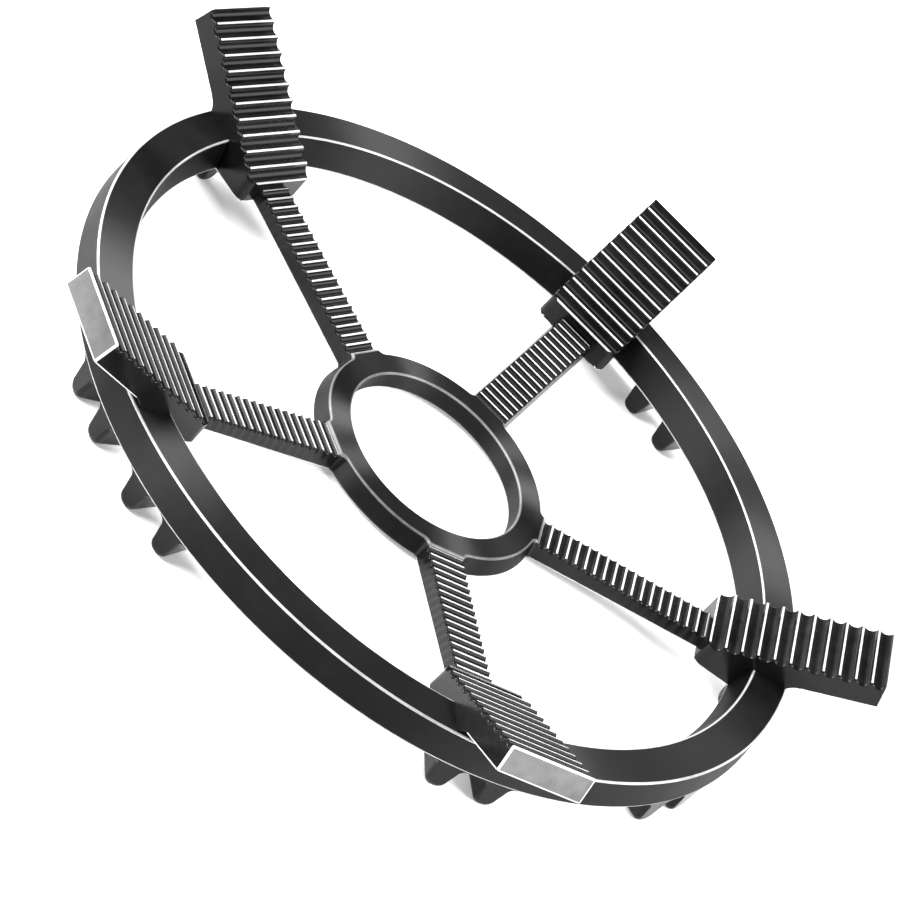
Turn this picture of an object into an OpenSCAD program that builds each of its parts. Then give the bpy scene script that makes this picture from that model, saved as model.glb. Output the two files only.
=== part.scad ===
// Pan support for a gas hob: one iron casting that carries a pan over a burner.
// A ring stands on the fingers of the hob and is held there by pairs of teeth on its underside.
// Five ribbed arms rise outwards across the ring, and five ribbed spokes run down to a hub ring.
// Millimetres, +Z up. The origin is on the axis of the hub's bore, halfway up its wall.

/* [Ring] */
// Outer diameter of the ring across its top face
ring_od = 200; // [170:1:240]
// Width of the ring's top face
ring_w = 9.5; // [7:0.5:14]
// Height of the ring
ring_h = 8.5; // [6:0.5:12]
// Casting draft of the outer wall, from the top face to the underside
ring_draft_out = 0.75; // [0:0.05:1.5]
// Casting draft of the inner wall, from the top face to the underside
ring_draft_in = 2; // [0:0.1:3]

/* [Hub] */
// Diameter of the bore through the hub
bore_d = 48.8; // [40:0.2:60]
// Width of the hub's top face
hub_w = 6.2; // [4:0.2:10]
// Height of the hub
hub_h = 5.3; // [4:0.1:9]
// How far the hub's top face lies below the ring's top face
hub_drop = 9.75; // [5:0.25:15]
// Casting draft of the hub's outer wall
hub_draft = 1.2; // [0:0.1:2]

/* [Arms] */
// Number of arms and of spokes
arm_count = 5; // [3:1:6]
// Width of an arm
arm_w = 22; // [14:0.5:30]
// Distance from the axis to the inner end of an arm
arm_start_r = 77.5; // [68:0.5:82]
// Distance from the axis to the top edge of an arm's outer end
arm_tip_r = 116.25; // [108:0.25:135]
// Rise of an arm's top, in degrees
arm_slope = 26.7; // [15:0.1:32]
// How far an arm's top edge at its inner end lies below the ring's top face
arm_root_drop = 1.6; // [0:0.1:3]
// Thickness of the bar that overhangs the ring, square to its top
arm_bar = 6.75; // [5:0.25:8]
// Lean of the outer end face from upright, in degrees
arm_end_lean = 18; // [0:1:30]
// Radius of the upright corners at the inner end
arm_corner_r = 2; // [0.5:0.25:5]
// Radius of the hollow corner where the bar leaves the ring
arm_root_r = 4.5; // [1:0.25:5]
// Number of flutes across an arm's top
arm_flutes = 11; // [6:1:16]
// Depth of an arm's flutes
arm_flute_depth = 1.05; // [0.4:0.05:1.5]

/* [Spokes] */
// Width of a spoke's top
spoke_w = 10.1; // [6:0.1:14]
// Casting draft of each side of a spoke
spoke_draft = 0.6; // [0:0.1:1.2]
// How far a spoke's top lies below the hub's top face
spoke_hub_drop = 0.7; // [0.2:0.1:1.5]
// How far a spoke's top lies below an arm's top edge
spoke_arm_drop = 3; // [1:0.25:5]
// Plan radius of the hollow corners where a spoke leaves the hub
spoke_root_r = 2; // [1:0.25:3]
// Number of flutes along a spoke
spoke_flutes = 18; // [8:1:24]
// Depth of a spoke's flutes
spoke_flute_depth = 0.55; // [0.2:0.05:0.8]

/* [Teeth] */
// Angles of the tooth pairs that straddle the fingers of a four-finger hob
four_finger_angles = [0, 90, 180, 270];
// Depth of the teeth below the ring's underside
tooth_h = 8; // [5:0.5:12]
// Thickness of a tooth at its tip
tooth_w = 5; // [3:0.25:7]
// Angle between the two teeth of a pair
tooth_gap_angle = 7.5; // [6:0.25:10]
// Casting draft of each side of a tooth
tooth_draft = 0.6; // [0:0.1:1.5]
// Radius of the hollow corners at a tooth's root
tooth_root_r = 2; // [0.5:0.25:2.5]
// How far a tooth's inner end stands off the ring's inner wall
tooth_inset = 2; // [1:0.25:4]

/* [Edges] */
// Size of the broken edges
edge = 0.5; // [0.2:0.1:0.8]
// Width of the flat crest left between two flutes
crest = 0.5; // [0.2:0.1:0.8]

/* [Hidden] */
$fn = 96;

iron = "#2e2e30";
step = 360 / arm_count;
first_arm = 90;
hub_top = hub_h / 2;
hub_bottom = -hub_h / 2;
ring_top = hub_top + hub_drop;
ring_bottom = ring_top - ring_h;
ring_r = ring_od / 2;
ring_inner_r = ring_r - ring_w;
ring_foot_inner_r = ring_inner_r - ring_draft_in;
ring_foot_outer_r = ring_r + ring_draft_out;
ring_mid_r = (ring_foot_inner_r + ring_foot_outer_r) / 2;
bore_r = bore_d / 2;
hub_r = bore_r + hub_w;
hub_mid_r = (bore_r + hub_r) / 2;
arm_root_top = ring_top - arm_root_drop;
arm_bottom = ring_bottom + edge * 0.4;
// The wall under a bar stands on the ring's flat top, just inside its broken outer edge
arm_wall_r = sqrt(pow(ring_r - edge, 2) - pow(arm_w / 2, 2)) - edge * 0.8;
arm_len = (arm_tip_r - arm_start_r) / cos(arm_slope);
spoke_start_top = hub_top - spoke_hub_drop;
spoke_end_top = arm_root_top - spoke_arm_drop;
spoke_start_bottom = hub_bottom + edge * 0.4;
spoke_end_bottom = arm_bottom + edge * 0.4;
// Axis of a hollow corner between the hub and a spoke, as a distance along the spoke and beside it
root_side = spoke_w / 2 + spoke_root_r - edge * 0.2;
root_along = sqrt(pow(hub_r + spoke_root_r - edge * 0.2, 2) - pow(root_side, 2));
spoke_start_r = root_along - edge * 0.3;
spoke_slope = atan2(spoke_end_top - spoke_start_top, arm_start_r - spoke_start_r);
spoke_len = (arm_start_r - spoke_start_r) / cos(spoke_slope);
// How far a piece reaches into its neighbour, so that the two are one solid
bite = 3;
// How far a cutting shape reaches past what it cuts
past = 2;

// Directions of the arms, and of the tooth pairs under them and for a four-finger hob
arm_angles = [for (i = [0:arm_count - 1]) first_arm + i * step];
pair_angles = concat(arm_angles, [for (a = four_finger_angles) if (a != first_arm) a]);

// Point at a distance along a rising line and a height square to it
function on_slope(from, slope, along, up) =
    [from[0] + along * cos(slope) - up * sin(slope),
     from[1] + along * sin(slope) + up * cos(slope)];

// Radius of a flute from its chord and its depth
function flute_r(chord, depth) = (chord * chord / 4 + depth * depth) / (2 * depth);

// Flutes along a rising line, drawn in the plane of radius and height
module flutes(from, slope, run, count, depth) {
    pitch = run / count;
    r = flute_r(pitch - crest, depth);
    for (i = [0:count - 1])
        translate(on_slope(from, slope, (i + 0.5) * pitch, r - depth)) circle(r);
}

// Stands a profile of radius and height upright along +X, as thick as it says
module upright(thickness) {
    rotate([90, 0, 0]) linear_extrude(thickness, center = true) children();
}

// Runs a section of width and height along +X, up a slope from a point of radius and height
module along_slope(from, slope, run) {
    translate([from[0], 0, from[1]]) rotate([0, -slope, 0]) rotate([90, 0, 90])
        linear_extrude(run) children();
}

// Wall of revolution with drafted sides and broken edges
module turned_wall(top_in, top_out, foot_in, foot_out, z_low, z_high) {
    fall = edge / (z_high - z_low);
    rotate_extrude($fn = 180) polygon([
        [foot_in + edge, z_low],
        [foot_out - edge, z_low],
        [foot_out - (foot_out - top_out) * fall, z_low + edge],
        [top_out + (foot_out - top_out) * fall, z_high - edge],
        [top_out - edge, z_high],
        [top_in + edge, z_high],
        [top_in - (top_in - foot_in) * fall, z_high - edge],
        [foot_in + (top_in - foot_in) * fall, z_low + edge]]);
}

module ring() {
    turned_wall(ring_inner_r, ring_r, ring_foot_inner_r, ring_foot_outer_r, ring_bottom, ring_top);
}

module hub() {
    turned_wall(bore_r, hub_r, bore_r, hub_r + hub_draft, hub_bottom, hub_top);
}

// Side view of an arm: a block inside the ring and a bar that overhangs it
module arm_profile() {
    start = [arm_start_r, arm_root_top];
    end_len = arm_len - arm_bar * tan(arm_slope - arm_end_lean);
    under = function(r) on_slope(start, arm_slope, 0, -arm_bar)[1]
        + (r - on_slope(start, arm_slope, 0, -arm_bar)[0]) * tan(arm_slope);
    round_r = arm_wall_r + arm_root_r;
    round_z = under(round_r) - arm_root_r / cos(arm_slope);
    difference() {
        union() {
            polygon([
                [arm_start_r, arm_bottom],
                start,
                on_slope(start, arm_slope, arm_len, 0),
                on_slope(start, arm_slope, end_len, -arm_bar),
                [arm_wall_r, under(arm_wall_r)],
                [arm_wall_r, ring_top - edge * 2],
                [ring_foot_inner_r + edge * 2, ring_bottom + edge * 2],
                [ring_foot_inner_r + edge * 2, arm_bottom]]);
            // Hollow corner under the bar
            difference() {
                polygon([
                    [arm_wall_r, under(arm_wall_r)],
                    [arm_wall_r - edge, round_z],
                    [round_r, round_z],
                    [round_r - arm_root_r * sin(arm_slope), round_z + arm_root_r * cos(arm_slope)]]);
                translate([round_r, round_z]) circle(arm_root_r);
            }
        }
        flutes(start, arm_slope, arm_len, arm_flutes, arm_flute_depth);
    }
}

// Top view of an arm, with rounded corners at its inner end
module arm_plan() {
    half = arm_w / 2;
    reach = arm_tip_r + arm_bar - arm_start_r;
    translate([arm_start_r + arm_corner_r, -half]) square([reach, arm_w]);
    translate([arm_start_r, -half + arm_corner_r]) square([reach, arm_w - 2 * arm_corner_r]);
    for (side = [-1, 1])
        translate([arm_start_r + arm_corner_r, side * (half - arm_corner_r)]) circle(arm_corner_r);
}

// End view of a ribbed top: flat sides, which may be drafted, and broken top edges
module ribbed_section(width, draft, depth) {
    half = width / 2;
    polygon([
        [-half - draft, -depth], [half + draft, -depth],
        [half, -edge], [half - edge - past, past],
        [-half + edge + past, past], [-half, -edge]]);
}

module arm() {
    start = [arm_start_r, arm_root_top];
    tall = arm_len + ring_h;
    intersection() {
        upright(arm_w) arm_profile();
        translate([0, 0, ring_bottom]) linear_extrude(2 * tall) arm_plan();
        translate([-bite, 0, 0]) along_slope(start, arm_slope, arm_len + arm_bar)
            ribbed_section(arm_w, 0, tall);
    }
}

// Side view of a spoke, from inside the hub's wall to inside an arm
module spoke_profile() {
    start = [spoke_start_r, spoke_start_top];
    difference() {
        polygon([
            [hub_mid_r, spoke_start_bottom],
            on_slope(start, spoke_slope, hub_mid_r - spoke_start_r, 0),
            on_slope(start, spoke_slope, spoke_len + bite, 0),
            [arm_start_r + bite, spoke_end_bottom],
            [arm_start_r, spoke_end_bottom],
            [hub_r + hub_draft, spoke_start_bottom]]);
        flutes(start, spoke_slope, spoke_len, spoke_flutes, spoke_flute_depth);
    }
}

module spoke() {
    start = [hub_mid_r, spoke_start_top - (spoke_start_r - hub_mid_r) * tan(spoke_slope)];
    intersection() {
        upright(spoke_w + 4 * spoke_draft) spoke_profile();
        along_slope(start, spoke_slope, spoke_len + hub_w)
            ribbed_section(spoke_w, spoke_draft * 2, hub_h * 2);
    }
}

// Widening of the hub at a spoke: a straight front and two hollow corners, with broken top edges
module spoke_root() {
    top = hub_top - edge * 0.2;
    low = hub_bottom + edge * 1.2;
    half = hub_r * root_side / (hub_r + spoke_root_r);
    thin = (top - low) * spoke_draft / hub_h;
    difference() {
        upright(2 * half) polygon([
            [hub_mid_r, low], [spoke_start_r, low], [spoke_start_r, top - edge],
            [spoke_start_r - edge, top], [hub_mid_r, top]]);
        for (side = [-1, 1])
            translate([root_along, side * root_side, 0]) rotate_extrude() polygon([
                [0, low - past], [spoke_root_r - thin, low - past], [spoke_root_r - thin, low],
                [spoke_root_r, top - edge], [spoke_root_r + edge + past, top + past],
                [0, top + past]]);
    }
}

// End view of a tooth, looking along the ring's radius: drafted sides, a round tip and hollow roots
module tooth_section() {
    tip_r = tooth_w * 0.4;
    half = tooth_w / 2;
    root = half + tooth_draft;
    top = ring_bottom + edge;
    tip = ring_bottom - tooth_h;
    hollow_x = root + tooth_root_r;
    hollow_z = ring_bottom - tooth_root_r + edge * 0.2;
    polygon([
        [-root, top], [root, top], [root, ring_bottom],
        [half, tip + tip_r], [-half, tip + tip_r], [-root, ring_bottom]]);
    translate([-half + tip_r, tip]) square([2 * (half - tip_r), tip_r * 2]);
    for (side = [-1, 1]) {
        translate([side * (half - tip_r), tip + tip_r]) circle(tip_r);
        difference() {
            polygon([
                [side * (half - edge), top], [side * hollow_x, top],
                [side * hollow_x, hollow_z], [side * (half - edge), hollow_z]]);
            translate([side * hollow_x, hollow_z]) circle(tooth_root_r);
        }
    }
}

// Side view of a tooth, in the plane of radius and height
module tooth_profile() {
    top = ring_bottom + edge;
    tip = ring_bottom - tooth_h;
    outer = ring_foot_outer_r - edge * 0.4;
    inner = ring_foot_inner_r + tooth_inset;
    soft = tooth_w * 0.3;
    polygon([
        [inner, top], [outer, top], [outer, ring_bottom],
        [outer - tooth_draft, tip + soft], [inner + tooth_draft, tip + soft],
        [inner, ring_bottom]]);
    translate([inner + tooth_draft + soft, tip])
        square([outer - inner - 2 * tooth_draft - 2 * soft, soft * 2]);
    for (r = [inner + tooth_draft + soft, outer - tooth_draft - soft])
        translate([r, tip + soft]) circle(soft);
}

module tooth() {
    span = tooth_w + 2 * tooth_draft + 2 * tooth_root_r;
    intersection() {
        upright(span + past) tooth_profile();
        translate([ring_foot_inner_r - past, 0, 0]) rotate([90, 0, 90])
            linear_extrude(ring_foot_outer_r - ring_foot_inner_r + 2 * past) tooth_section();
    }
}

module pan_support() {
    color(iron) {
        ring();
        hub();
        for (a = arm_angles) rotate([0, 0, a]) {
            arm();
            spoke();
            spoke_root();
        }
        for (a = pair_angles, side = [-1, 1])
            rotate([0, 0, a + side * tooth_gap_angle / 2]) tooth();
    }
}

pan_support();
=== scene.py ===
# Pan support for a gas hob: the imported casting, dressed for the render.
# Metres, in the casting's own frame: +Z up along the hub's bore, one arm along +Y.
import math

import bpy
from mathutils import Matrix, Vector


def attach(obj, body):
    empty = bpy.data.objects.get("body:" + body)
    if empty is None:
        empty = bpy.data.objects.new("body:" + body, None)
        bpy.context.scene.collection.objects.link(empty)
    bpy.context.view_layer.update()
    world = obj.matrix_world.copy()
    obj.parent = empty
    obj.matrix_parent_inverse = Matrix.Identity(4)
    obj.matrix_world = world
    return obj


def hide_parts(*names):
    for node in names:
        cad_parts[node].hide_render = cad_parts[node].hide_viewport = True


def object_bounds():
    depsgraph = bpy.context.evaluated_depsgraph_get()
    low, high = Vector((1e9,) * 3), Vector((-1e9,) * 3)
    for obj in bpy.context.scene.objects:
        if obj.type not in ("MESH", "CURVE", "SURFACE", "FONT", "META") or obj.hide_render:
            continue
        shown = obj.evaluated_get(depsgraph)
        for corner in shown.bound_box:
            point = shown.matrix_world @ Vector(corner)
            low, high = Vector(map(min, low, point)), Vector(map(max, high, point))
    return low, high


MM = 0.001

# Sizes of the casting in millimetres, as in its source
RING_TOP = 12.4
RING_H = 8.5
RING_R = 100.0
RING_IN = 90.5
RING_FOOT_R = 100.75
RING_FOOT_IN = 88.5
BORE_R = 24.4
HUB_R = 30.6
HUB_FOOT_R = 31.8
HUB_H = 5.3
ARMS = [90, 162, 234, 306, 18]
ARM_HALF = 11.0
ARM_START = 77.5
ARM_TIP = 116.25
ARM_SLOPE = math.radians(26.7)
ARM_ROOT_TOP = RING_TOP - 1.6
ARM_BAR = 6.75
ARM_LEAN = math.radians(18)
ARM_CORNER = 2.0
ARM_HOLLOW = 4.5
ARM_WALL = math.sqrt((RING_R - 0.5) ** 2 - ARM_HALF ** 2) - 0.4
ARM_FLUTES = 11
ARM_FLUTE_DEPTH = 1.05
SPOKE_HALF = 5.05
SPOKE_DRAFT = 0.6
SPOKE_FLUTES = 18
SPOKE_FLUTE_DEPTH = 0.55
SPOKE_ROOT_R = 2.0
SPOKE_START = 31.6
SPOKE_START_TOP = HUB_H / 2 - 0.7
SPOKE_END_TOP = ARM_ROOT_TOP - 3.0
PAIRS = [90, 162, 234, 306, 18, 0, 180, 270]
TOOTH_TURN = 3.75
TOOTH_H = 8.0
TOOTH_HALF = 2.5
TOOTH_DRAFT = 0.6
TOOTH_HOLLOW = 2.0
TOOTH_IN = 90.5
TOOTH_OUT = 100.55
CREST = 0.5
EDGE = 0.45
RING_FOOT = RING_TOP - RING_H

# Material slots: plain iron, edges and crests painted light as a highlight, tops, and arm end faces painted
# lighter as if lit.
IRON, PAINTED_HIGHLIGHT, TOP, LIT_END = 0, 1, 2, 3

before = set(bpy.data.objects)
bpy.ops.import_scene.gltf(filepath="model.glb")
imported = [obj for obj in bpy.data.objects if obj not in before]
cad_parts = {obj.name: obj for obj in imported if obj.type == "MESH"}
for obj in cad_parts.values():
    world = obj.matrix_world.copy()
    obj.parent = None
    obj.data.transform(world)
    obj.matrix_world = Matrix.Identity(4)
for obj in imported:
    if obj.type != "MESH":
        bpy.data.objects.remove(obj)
cad_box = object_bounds()


# Mesh building


def add_piece(name, verts, faces, slots, materials, turn=0.0, smooth=None):
    a = math.radians(turn)
    c = math.cos(a)
    s = math.sin(a)
    mesh = bpy.data.meshes.new(name)
    mesh.from_pydata([((x * c - y * s) * MM, (x * s + y * c) * MM, z * MM) for x, y, z in verts],
                     [], faces)
    for m in materials:
        mesh.materials.append(m)
    mesh.polygons.foreach_set("material_index", slots)
    mesh.polygons.foreach_set("use_smooth", smooth or [True] * len(faces))
    mesh.set_sharp_from_angle(angle=math.radians(38))
    mesh.validate()
    obj = bpy.data.objects.new(name, mesh)
    bpy.context.collection.objects.link(obj)
    weigh = obj.modifiers.new("weighted", "WEIGHTED_NORMAL")
    weigh.keep_sharp = True
    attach(obj, "root")
    return obj


def loft(loops, is_highlit, caps=True, flat=None):
    """Quads between like points of neighbouring loops, with an end cap on the first and last."""
    n = len(loops[0])
    verts = [p for loop in loops for p in loop]
    faces = []
    slots = []
    for k in range(len(loops) - 1):
        for j in range(n):
            i = (j + 1) % n
            faces.append((k * n + j, k * n + i, (k + 1) * n + i, (k + 1) * n + j))
            slots.append(PAINTED_HIGHLIGHT if is_highlit(k, j) else TOP if j == flat else IRON)
    if caps:
        last = (len(loops) - 1) * n
        faces.append(tuple(range(n - 1, -1, -1)))
        faces.append(tuple(range(last, last + n)))
        slots += [IRON, IRON]
    return verts, faces, slots


def arc(cx, cz, r, start, end, steps):
    out = []
    for i in range(steps + 1):
        a = math.radians(start + (end - start) * i / steps)
        out.append((cx + r * math.cos(a), cz + r * math.sin(a)))
    return out


# Turned rings


def rounded(corners, r, steps=4):
    """Rounds each corner of a closed outline of radius and height; the arcs get the painted highlight."""
    pts = []
    highlit = []
    n = len(corners)
    for i in range(n):
        p = Vector(corners[i])
        a = (Vector(corners[i - 1]) - p).normalized()
        b = (Vector(corners[(i + 1) % n]) - p).normalized()
        half = a.angle(b) / 2
        cut = r / math.tan(half)
        centre = p + (a + b).normalized() * (r / math.sin(half))
        p0 = p + a * cut - centre
        p1 = p + b * cut - centre
        for k in range(steps + 1):
            d = p0.lerp(p1, k / steps).normalized() * r
            pts.append(tuple(centre + d))
            highlit.append(k < steps)
    return pts, highlit


def turned(name, corners, materials, segments=288):
    outline, highlit = rounded(corners, EDGE)
    m = len(outline)
    loops = []
    for k in range(segments):
        a = 2 * math.pi * k / segments
        loops.append([(r * math.cos(a), r * math.sin(a), z) for r, z in outline])
    # The rounded arcs take the painted highlight colour of the second material.
    verts, faces, slots = loft(loops + [loops[0]], lambda k, j: highlit[j], False, 14)
    verts = verts[:segments * m]
    faces = [tuple(i % (segments * m) for i in f) for f in faces]
    return add_piece(name, verts, faces, slots, materials)


def root_path(radius, half, hollow, front_edge):
    """Centres of the broken edge, the way it faces and its size, from a spoke's axis halfway to the
    next: a straight front, its corner, a hollow corner and then the circle."""
    side = half + hollow
    cx = math.sqrt((radius + hollow) ** 2 - side ** 2)
    front = cx - (math.sqrt((HUB_R + SPOKE_ROOT_R) ** 2 - (SPOKE_HALF + SPOKE_ROOT_R) ** 2) - SPOKE_START)
    e = front_edge
    corner_y = side - math.sqrt((hollow + e) ** 2 - (cx - front + e) ** 2)
    top_a = math.atan2(side - corner_y, cx - front + e)
    low_a = math.asin(side / (radius + hollow))
    out = []
    for k in range(5):
        out.append((front - e, corner_y * k / 4, 0.0, e))
    for k in range(1, 6):
        out.append((front - e, corner_y, top_a * k / 5, e))
    for k in range(1, 9):
        a = top_a + (low_a - top_a) * k / 8
        e = front_edge + (EDGE - front_edge) * k / 8
        out.append((cx - (hollow + e) * math.cos(a), side - (hollow + e) * math.sin(a), a, e))
    end = math.radians(36)
    for k in range(1, 19):
        a = low_a + (end - low_a) * k / 18
        out.append(((radius - EDGE) * math.cos(a), (radius - EDGE) * math.sin(a), a, EDGE))
    return out


def hub(materials, steps=4):
    """The hub ring, widened where each spoke leaves it."""
    high = root_path(HUB_R, SPOKE_HALF, SPOKE_ROOT_R, 0.65)
    low = root_path(HUB_FOOT_R, SPOKE_HALF + 0.5, SPOKE_ROOT_R - 0.5, EDGE)
    top = HUB_H / 2
    arcs = [math.radians(90 * k / steps) for k in range(steps + 1)]
    loops = []
    for angle in sorted(ARMS):
        order = [(i, -1) for i in range(len(high) - 1, 0, -1)] + [(i, 1) for i in range(len(high) - 1)]
        for i, side in order:
            turn = math.radians(angle)

            def place(x, y, z):
                y *= side
                return (x * math.cos(turn) - y * math.sin(turn), x * math.sin(turn) + y * math.cos(turn), z)

            x, y, face, e = high[i]
            way = math.atan2(y, x)
            loop = []
            for a in arcs:
                r = BORE_R + EDGE - EDGE * math.sin(a)
                loop.append(place(r * math.cos(way), r * math.sin(way), -top + EDGE - EDGE * math.cos(a)))
            for a in arcs:
                r = BORE_R + EDGE - EDGE * math.cos(a)
                loop.append(place(r * math.cos(way), r * math.sin(way), top - EDGE + EDGE * math.sin(a)))
            for a in arcs:
                r = e * math.sin(a)
                loop.append(place(x + r * math.cos(face), y + r * math.sin(face), top - e + e * math.cos(a)))
            x, y, face, e = low[i]
            for a in arcs:
                r = e * math.cos(a)
                loop.append(place(x + r * math.cos(face), y + r * math.sin(face), -top + e - e * math.sin(a)))
            loops.append(loop)
    m = len(loops[0])
    # The rounded arcs take the hub's painted edge highlight.
    verts, faces, slots = loft(loops + [loops[0]], lambda k, j: j % (steps + 1) < steps, False, 9)
    count = len(loops) * m
    faces = [tuple(i % count for i in f) for f in faces]
    return add_piece("hub", verts[:count], faces, slots, materials)


# Arms and spokes


def flute_depth(s, pitch, depth):
    """Depth of the flutes at a distance along their slope, and whether it is on a crest."""
    chord = pitch - CREST
    r = (chord * chord / 4 + depth * depth) / (2 * depth)
    t = (s % pitch) - pitch / 2
    if abs(t) >= chord / 2 - 1e-3:
        return 0.0
    return math.sqrt(max(r * r - t * t, 0)) - (r - depth)


def flute_stations(length, count, depth, steps=8):
    """Distances along a slope that follow each flute and its crests."""
    pitch = length / count
    chord = pitch - CREST
    r = (chord * chord / 4 + depth * depth) / (2 * depth)
    sweep = math.asin(min(chord / 2 / r, 1))
    out = [0.0]
    for i in range(count):
        middle = (i + 0.5) * pitch
        for k in range(steps + 1):
            out.append(middle + r * math.sin(sweep * (2 * k / steps - 1)))
    out.append(length)
    return out


def section(half_top, half_low, top, low, r, steps=3):
    """Points round a bar's section, each as a width and a share of the way from top to low."""
    tall = max(math.dist(top, low), 1e-6)
    pts = []

    def corner(half, at, sign_y, sign_t, start, end):
        for k in range(steps + 1):
            a = math.radians(start + (end - start) * k / steps)
            y = sign_y * (half - r) + r * math.cos(a)
            t = at * tall + sign_t * r - r * math.sin(a) * 1
            pts.append((y, t / tall))

    corner(half_top, 0, 1, 1, 90, 0)
    corner(half_low, 1, 1, -1, 0, -90)
    corner(half_low, 1, -1, -1, 270, 180)
    corner(half_top, 0, -1, 1, 180, 90)
    return [(top[0] + (low[0] - top[0]) * t, y, top[1] + (low[1] - top[1]) * t) for y, t in pts]


def arm(angle, materials):
    slope = (math.cos(ARM_SLOPE), math.sin(ARM_SLOPE))
    length = (ARM_TIP - ARM_START) / slope[0]
    pitch = length / ARM_FLUTES
    last = length * slope[0]
    foot = RING_FOOT + 0.2
    bar_low_x = ARM_START + ARM_BAR * slope[1]
    bar_low_z = ARM_ROOT_TOP - ARM_BAR * slope[0]

    def under(x):
        return bar_low_z + (x - bar_low_x) * math.tan(ARM_SLOPE)

    hollow_x = ARM_WALL + ARM_HOLLOW
    hollow_z = under(hollow_x) - ARM_HOLLOW / slope[0]
    hollow_end = hollow_x - ARM_HOLLOW * slope[1]

    def low_z(x):
        if x < ARM_WALL:
            return foot
        if x < hollow_end:
            return hollow_z + math.sqrt(max(ARM_HOLLOW ** 2 - (hollow_x - x) ** 2, 0))
        return under(x)

    end_len = length - ARM_BAR * math.tan(ARM_SLOPE - ARM_LEAN)
    low_end = (ARM_START + end_len * slope[0] + ARM_BAR * slope[1],
               ARM_ROOT_TOP + end_len * slope[1] - ARM_BAR * slope[0])
    top_end = (ARM_TIP, ARM_ROOT_TOP + length * slope[1])
    lean = low_end[0] - top_end[0]

    xs = set()
    for s in flute_stations(length, ARM_FLUTES, ARM_FLUTE_DEPTH):
        xs.add(round(s * slope[0], 4))
    for dx in (0.0, 0.03, 0.13, 0.27, 0.45, 0.7, 1.0, 1.4):
        xs.add(dx)
    wall = ARM_WALL - ARM_START
    block_end = RING_FOOT_IN - ARM_START
    for k in range(7):
        xs.add(wall + (hollow_end - ARM_WALL) * (1 - math.cos(k * math.pi / 12)))
    xs = sorted(x for x in xs if x <= last - EDGE)
    loops = []
    crest = []
    shown = []

    def put(dx, low=None, drop=0.0, tuck=0.0, out=0.0):
        s = dx / slope[0]
        d = flute_depth(s, pitch, ARM_FLUTE_DEPTH)
        top = (ARM_START + dx + d * slope[1], ARM_ROOT_TOP + s * slope[1] - d * slope[0])
        if dx < 0.5:
            top = (ARM_START + dx, ARM_ROOT_TOP + s * slope[1] - d)
        share = max(0.0, (dx - 28) / (ARM_TIP - ARM_START - 28))
        x = ARM_START + dx + lean * share
        bottom = (x, low_z(ARM_START + dx) if low is None else low)
        if share > 0:
            bottom = (x, under(x))
        gap = ARM_CORNER - min(dx, ARM_CORNER)
        half = ARM_HALF - ARM_CORNER + math.sqrt(max(ARM_CORNER ** 2 - gap ** 2, 0)) - tuck
        way = Vector(bottom) - Vector(top)
        way.normalize()
        push = Vector((-way[1], way[0])) * out
        top = Vector(top) + way * drop + push
        bottom = Vector(bottom) - way * drop + push
        corner = max(EDGE - tuck, 0.02)
        if dx < EDGE:
            corner = 0.2
        loops.append(section(half, half, tuple(top), tuple(bottom), corner))
        crest.append(d == 0.0 and dx < last - pitch / 2)
        shown.append(dx < block_end or dx > hollow_end - ARM_START)

    for dx in xs:
        drop = EDGE - math.sqrt(max(EDGE ** 2 - (EDGE - min(dx, EDGE)) ** 2, 0))
        if dx == wall:
            put(dx, low=foot)
            put(dx + 1e-4, low=hollow_z)
            continue
        put(dx, drop=drop)
    ends = len(loops)
    for a in (0, 30, 60, 90):
        a = math.radians(a)
        inset = EDGE * (1 - math.cos(a))
        put(last, drop=inset, tuck=inset, out=EDGE * math.sin(a) - EDGE)

    n = len(loops[0])
    tops = range(n - 1, n)
    lows = (4, 5, 6, 8, 9, 10)

    # Crests, the lower edges where they show and the rounded end take the painted highlight.
    def is_highlit(k, j):
        if k >= ends - 1:
            return k >= ends
        if j in tops:
            return crest[k] and crest[k + 1]
        return j in lows and shown[k]

    verts, faces, slots = loft(loops, is_highlit, flat=n - 1)
    # The outer end face is painted lighter, standing in for the light that falls on it.
    slots[-1] = LIT_END
    return add_piece(f"arm_{angle:03d}", verts, faces, slots, materials, angle)


def spoke(angle, materials):
    run = ARM_START - SPOKE_START
    rise = SPOKE_END_TOP - SPOKE_START_TOP
    length = math.hypot(run, rise)
    slope = (run / length, rise / length)
    pitch = length / SPOKE_FLUTES
    low_start = -HUB_H / 2 + 0.2
    low_end = RING_FOOT + 0.4
    loops = []
    crest = []
    stations = flute_stations(length, SPOKE_FLUTES, SPOKE_FLUTE_DEPTH, 6)
    for s in [-4.0] + stations + [length + 2]:
        d = flute_depth(s, pitch, SPOKE_FLUTE_DEPTH) if 0 < s < length else 0.0
        top = (SPOKE_START + s * slope[0] + d * slope[1],
               SPOKE_START_TOP + s * slope[1] - d * slope[0])
        x = SPOKE_START + s * slope[0]
        share = max(0.0, (x - HUB_FOOT_R) / (ARM_START - HUB_FOOT_R))
        low = (x, low_start + (low_end - low_start) * min(share, 1))
        loops.append(section(SPOKE_HALF, SPOKE_HALF + SPOKE_DRAFT, top, low, 0.35))
        crest.append(d == 0.0)
    n = len(loops[0])
    lows = (4, 5, 6, 8, 9, 10)

    # Crests and the lower edges take the painted highlight.
    def is_highlit(k, j):
        if j == n - 1:
            return crest[k] and crest[k + 1]
        return j in lows

    verts, faces, slots = loft(loops, is_highlit, flat=n - 1)
    smooth = [i % n not in (3, 11) for i in range(len(faces))]
    return add_piece(f"spoke_{angle:03d}", verts, faces, slots, materials, angle, smooth)


# Teeth


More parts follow.
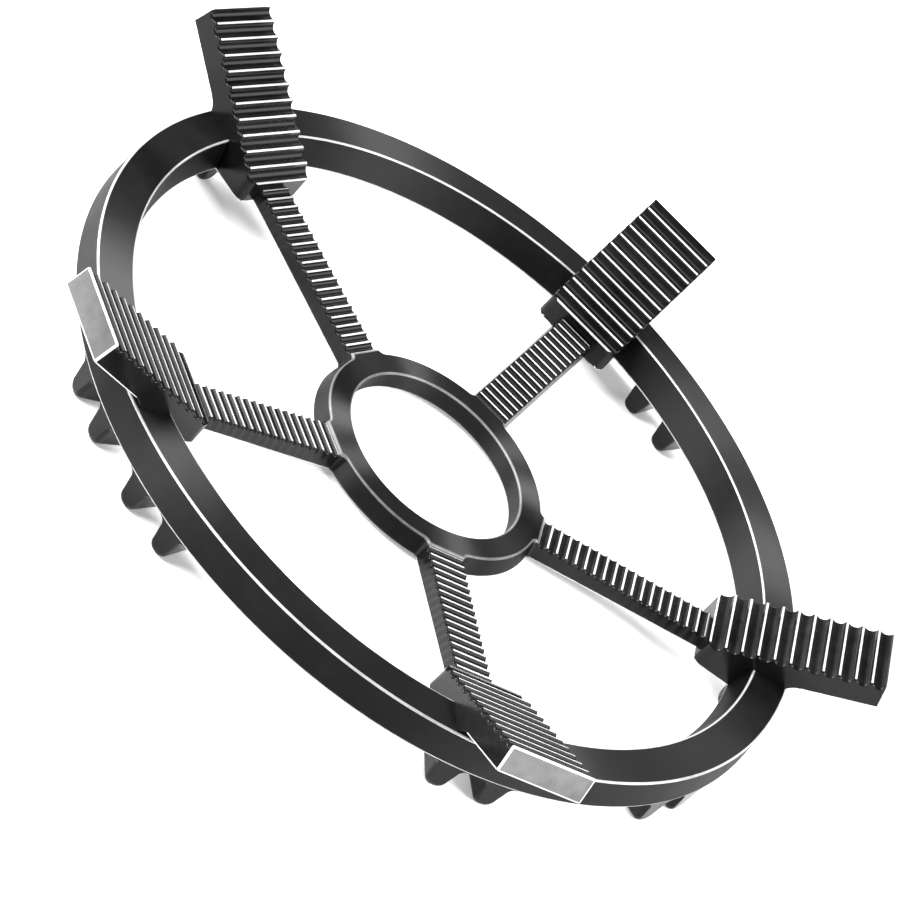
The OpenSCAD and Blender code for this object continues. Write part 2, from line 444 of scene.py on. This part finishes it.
def tooth_section(lift, tuck):
    tip_r = TOOTH_HALF * 0.8
    half = TOOTH_HALF - tuck
    root = half + TOOTH_DRAFT
    tip = RING_FOOT - TOOTH_H + lift
    hollow_x = root + TOOTH_HOLLOW
    hollow_z = RING_FOOT - TOOTH_HOLLOW + 0.1
    right = [(hollow_x, RING_FOOT + 0.4), (hollow_x, RING_FOOT + 0.1)]
    right += arc(hollow_x, hollow_z, TOOTH_HOLLOW, 90, 180, 6)[1:]
    right += arc(half - tip_r, tip + tip_r, tip_r, 0, -90, 6)
    return right + [(-y, z) for y, z in reversed(right)]


def tooth(pair, side, materials):
    soft = 1.5
    loops = []
    steps = []
    for a in (90, 70, 50, 30, 15, 0):
        t = math.radians(a)
        steps.append((TOOTH_IN + soft * (1 - math.sin(t)), soft * (1 - math.cos(t))))
    for a in (0, 15, 30, 50, 70, 90):
        t = math.radians(a)
        steps.append((TOOTH_OUT - soft * (1 - math.sin(t)), soft * (1 - math.cos(t))))
    for x, lift in steps:
        shape = tooth_section(lift, lift * 0.35)
        loops.append([(x, -y, z) for y, z in shape])
    verts, faces, slots = loft(loops, lambda k, j: False)
    name = f"tooth_{pair:03d}_{'left' if side > 0 else 'right'}"
    return add_piece(name, verts, faces, slots, materials, pair + side * TOOTH_TURN)


# Materials


def add_node(mat, kind, **values):
    """A node with the given values on its sockets, or its settings where it has no such socket."""
    node = mat.node_tree.nodes.new("ShaderNode" + kind)
    for key, value in values.items():
        label = key.replace("_", " ").title()
        if label in node.inputs:
            node.inputs[label].default_value = value
        else:
            setattr(node, key, value)
    return node


def noise(mat, where, scale, detail, roughness=0.5):
    node = add_node(mat, "TexNoise", scale=scale, detail=detail, roughness=roughness)
    mat.node_tree.links.new(where.outputs["Object"], node.inputs["Vector"])
    return node.outputs["Fac"]


def ramp(mat, fac, stops):
    """Runs a value through colour stops of position and grey level or colour."""
    node = add_node(mat, "ValToRGB")
    mat.node_tree.links.new(fac, node.inputs["Fac"])
    bar = node.color_ramp
    while len(bar.elements) < len(stops):
        bar.elements.new(1.0)
    for element, (at, shade) in zip(bar.elements, stops):
        element.position = at
        element.color = (shade, shade, shade, 1) if isinstance(shade, float) else (*shade, 1)
    return node.outputs["Color"]


def sum_of(mat, first, second, share):
    """First value plus a share of the second, about its middle."""
    node = add_node(mat, "Math", operation="MULTIPLY_ADD")
    mat.node_tree.links.new(second, node.inputs[0])
    node.inputs[1].default_value = share
    mat.node_tree.links.new(first, node.inputs[2])
    return node.outputs[0]


def iron_material(name, dark, light, gloss, specular, metallic=0.0, anisotropic=0.0, grain=0.5):
    """Cast iron: slow patches of colour and gloss, fine sand-cast grain and pits in the surface."""
    mat = bpy.data.materials.new(name)
    mat.use_nodes = True
    link = mat.node_tree.links.new
    bsdf = mat.node_tree.nodes["Principled BSDF"]
    where = add_node(mat, "TexCoord")
    patches = noise(mat, where, 55.0, 3.0, 0.55)
    mottle = noise(mat, where, 420.0, 4.0, 0.6)
    sand = noise(mat, where, 2600.0, 2.0, 0.6)
    tone = sum_of(mat, patches, mottle, 0.35)
    link(ramp(mat, tone, [(0.5, dark), (0.85, light)]), bsdf.inputs["Base Color"])
    shine = sum_of(mat, tone, sand, 0.25)
    link(ramp(mat, shine, [(0.5, gloss[0]), (0.95, gloss[1])]), bsdf.inputs["Roughness"])
    height = sum_of(mat, sand, mottle, 0.4)
    bump = add_node(mat, "Bump", strength=grain, distance=0.00006)
    link(height, bump.inputs["Height"])
    link(bump.outputs["Normal"], bsdf.inputs["Normal"])
    bsdf.inputs["Specular IOR Level"].default_value = specular
    bsdf.inputs["Metallic"].default_value = metallic
    if anisotropic:
        tangent = add_node(mat, "Tangent", direction_type="RADIAL", axis="Z")
        link(tangent.outputs["Tangent"], bsdf.inputs["Tangent"])
        bsdf.inputs["Anisotropic"].default_value = anisotropic
        bsdf.inputs["Anisotropic Rotation"].default_value = 0.25
    return mat


def plain(name, colour, roughness, metallic=0.0):
    mat = bpy.data.materials.new(name)
    mat.use_nodes = True
    bsdf = mat.node_tree.nodes["Principled BSDF"]
    bsdf.inputs["Base Color"].default_value = (*colour, 1)
    bsdf.inputs["Roughness"].default_value = roughness
    bsdf.inputs["Metallic"].default_value = metallic
    return mat


def floor_material(glow=0.34):
    """Pale paper that also glows a little to the camera and in reflections, so it reads as white."""
    mat = plain("floor", (0.9, 0.9, 0.9), 0.9)
    link = mat.node_tree.links.new
    path = add_node(mat, "LightPath")
    seen = add_node(mat, "Math", operation="MAXIMUM")
    link(path.outputs["Is Camera Ray"], seen.inputs[0])
    link(path.outputs["Is Glossy Ray"], seen.inputs[1])
    either = add_node(mat, "Math", operation="MAXIMUM")
    link(seen.outputs[0], either.inputs[0])
    link(path.outputs["Is Transmission Ray"], either.inputs[1])
    strength = add_node(mat, "Math", operation="MULTIPLY")
    link(either.outputs[0], strength.inputs[0])
    strength.inputs[1].default_value = glow
    bsdf = mat.node_tree.nodes["Principled BSDF"]
    bsdf.inputs["Emission Color"].default_value = (1, 1, 1, 1)
    link(strength.outputs[0], bsdf.inputs["Emission Strength"])
    return mat


# Studio


def camera():
    place = Vector((-0.72788, -0.28163, 0.50865))
    forward = Vector((0.784736, 0.302243, -0.541146))
    up = Vector((0.11754, 0.78465, 0.608695))
    data = bpy.data.cameras.new("camera")
    data.sensor_width = 36
    data.lens = 157.8
    data.clip_start = 0.01
    obj = bpy.data.objects.new("camera", data)
    bpy.context.collection.objects.link(obj)
    right = forward.cross(up).normalized()
    top = right.cross(forward).normalized()
    rot = Matrix((right, top, -forward)).transposed()
    obj.matrix_world = Matrix.Translation(place) @ rot.to_4x4()
    bpy.context.scene.camera = obj


def lamp(name, azimuth, elevation, brightness, distance=1.5, size=0.64):
    """A square softbox facing the casting's middle."""
    data = bpy.data.lights.new(name, "AREA")
    data.shape = "SQUARE"
    data.size = size
    data.energy = brightness * math.pi * size * size
    obj = bpy.data.objects.new(name, data)
    bpy.context.collection.objects.link(obj)
    a = math.radians(azimuth)
    e = math.radians(elevation)
    way = Vector((math.cos(a) * math.cos(e), math.sin(a) * math.cos(e), math.sin(e)))
    obj.location = way * distance
    obj.rotation_euler = way.to_track_quat("Z", "Y").to_euler()


def floor():
    low = cad_box[0][2]
    mesh = bpy.data.meshes.new("floor")
    s = 4.0
    mesh.from_pydata([(-s, -s, low), (s, -s, low), (s, s, low), (-s, s, low)], [], [(0, 1, 2, 3)])
    obj = bpy.data.objects.new("floor", mesh)
    bpy.context.collection.objects.link(obj)
    mesh.materials.append(floor_material())


iron = iron_material("iron", (0.0015, 0.0015, 0.0017), (0.006, 0.006, 0.0064), (0.13, 0.24), 0.16, grain=0.2)
flute = iron_material("fluted_top", (0.0015, 0.0015, 0.0017), (0.006, 0.006, 0.0064), (0.18, 0.28), 0.5,
                      grain=0.2)
wall = iron_material("turned_wall", (0.0015, 0.0015, 0.0017), (0.006, 0.006, 0.0064), (0.42, 0.5), 0.14,
                     anisotropic=0.95, grain=0.2)
top = iron_material("turned_top", (0.0015, 0.0015, 0.0017), (0.006, 0.006, 0.0064), (0.42, 0.5), 0.42,
                    anisotropic=1.0, grain=0.2)
# A light grey painted on crests and edges as their highlight.
crest = iron_material("crest_painted_highlight", (0.46, 0.46, 0.46), (0.68, 0.68, 0.68), (0.25, 0.4), 0.4, 0.2)
# A light grey painted on the ring's rounded edges as their highlight.
ring_edge_highlight = iron_material("ring_edge_highlight", (0.3, 0.3, 0.3), (0.5, 0.5, 0.5), (0.25, 0.4), 0.4, 0.2)
# A grey painted on the hub's rounded edges as a faint highlight.
hub_edge_highlight = iron_material("hub_edge_highlight", (0.08, 0.08, 0.08), (0.17, 0.17, 0.17), (0.25, 0.4), 0.4, 0.2)
# A lighter, more metallic grey on the arms' outer end faces: painted light, for how the light falls on them.
lit_end = iron_material("end_painted_light", (0.07, 0.07, 0.072), (0.13, 0.13, 0.133), (0.3, 0.36), 0.5, 0.7, grain=0.3)
both = [iron, crest, flute, lit_end]
pieces = [
    turned("ring", [(RING_FOOT_IN, RING_FOOT), (RING_FOOT_R, RING_FOOT), (RING_R, RING_TOP),
                    (RING_IN, RING_TOP)], [wall, ring_edge_highlight, top]),
    hub([wall, hub_edge_highlight, top]),
]
for angle in ARMS:
    pieces.append(arm(angle, both))
    pieces.append(spoke(angle, both))
for pair in PAIRS:
    pieces.append(tooth(pair, 1, both))
    pieces.append(tooth(pair, -1, both))
for piece in pieces:
    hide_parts("pan_support")

camera()
floor()
lamp("left", 92, 33, 26)
lamp("front_left", 148, 33, 34)
lamp("right", 282, 33, 27)
lamp("low_left", 102, 10, 8)
lamp("low_front", 256, 10, 7)
lamp("high_left", 80, 56, 2.5)
lamp("high_right", 320, 56, 2.5)
lamp("back", 345, 30, 2.2)
lamp("far_back", 24, 12, 1.6)
lamp("above", 0, 80, 2)
world = bpy.data.worlds.new("studio")
bpy.context.scene.world = world
world.use_nodes = True
world.node_tree.nodes["Background"].inputs["Color"].default_value = (1, 1, 1, 1)
world.node_tree.nodes["Background"].inputs["Strength"].default_value = 0.03
bpy.context.scene.view_settings.view_transform = "Standard"
